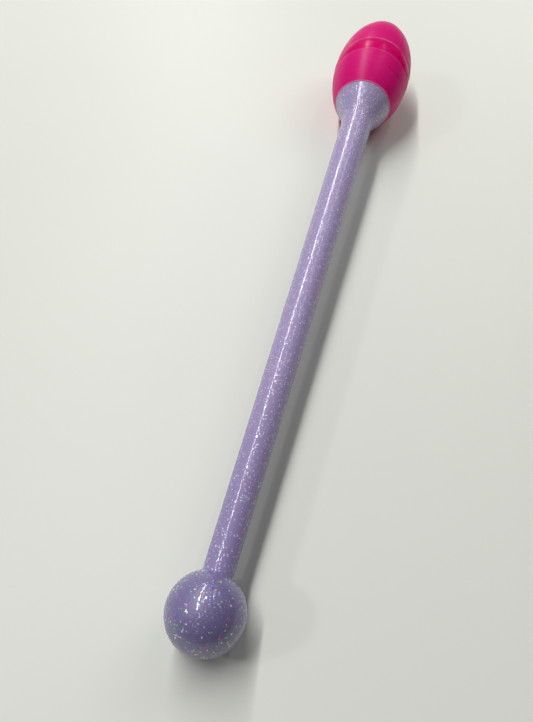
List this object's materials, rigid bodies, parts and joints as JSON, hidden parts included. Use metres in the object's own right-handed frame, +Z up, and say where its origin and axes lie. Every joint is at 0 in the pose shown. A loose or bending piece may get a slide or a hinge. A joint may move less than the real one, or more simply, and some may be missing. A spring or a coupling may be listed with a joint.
{
  "type": "rhythmic gymnastics club",
  "caption": "Linking club for rhythmic gymnastics: ball end, tapering shaft that flares into an oval two-shell head with a soft band and a ball socket in its tip.",
  "frame": {"origin": "on the table, under the middle of the club's length, as it rests by itself on its ball and on the band around its head", "axes": "+Y from the ball towards the head, along the club as seen from above; +Z up. The club's own axis climbs 1.65 degrees from the ball to the head"},
  "size_m": [0.05, 0.4052, 0.0501],
  "materials": {
    "shaft_glitter": "glossy, clear over silver and holographic glitter",
    "ball_glitter": "glossy, clear over holographic glitter",
    "head_pink": "satin, slightly waxy",
    "band_pink": "smooth, semi-gloss",
    "socket_pink": "satin",
    "glass_fibre": "smooth",
    "nylon": "satin",
    "brass": "turned",
    "aluminium": "turned",
    "steel": "zinc plated"
  },
  "bodies": {
    "root": {"shaft": "shaft_glitter", "core_tube": "glass_fibre", "ball": "ball_glitter", "ball_insert": "brass", "head_shell": "head_pink", "head_band": "band_pink", "head_cap": "head_pink", "socket_cup": "socket_pink", "neck_nut": "aluminium", "head_hub": "nylon", "balance_ring": "steel", "core_plug": "brass", "hub_screw": "steel", "hub_washer": "steel"}
  },
  "joints": []
}
